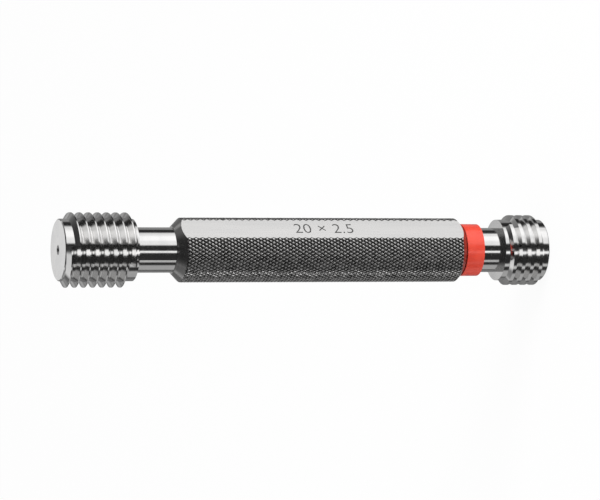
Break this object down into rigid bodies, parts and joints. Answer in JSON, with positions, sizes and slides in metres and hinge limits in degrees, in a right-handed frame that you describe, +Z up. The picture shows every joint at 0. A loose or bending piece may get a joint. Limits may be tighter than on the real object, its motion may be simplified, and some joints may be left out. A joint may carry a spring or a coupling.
{
  "type": "thread plug gauge",
  "caption": "Double-ended thread plug gauge: round knurled handle with one flat, a long threaded go end, and a short threaded no-go end behind a red marking ring. Checks internal threads.",
  "frame": {"origin": "centre of the flat end face of the no-go member, on which the gauge stands", "axes": "+Z up along the common axis, from the no-go end to the go end; the flat on the handle faces between +X and -Y, 43.5 degrees from +X"},
  "size_m": [0.02, 0.02, 0.1365],
  "materials": {
    "gauge_steel": "ground and lapped bright steel",
    "handle_steel": "blackened steel, knurled, with one bright ground flat",
    "red_plastic": "gloss"
  },
  "bodies": {
    "root": {"handle": "handle_steel", "go_member": "gauge_steel", "no_go_member": "gauge_steel", "red_ring": "red_plastic"}
  },
  "joints": []
}
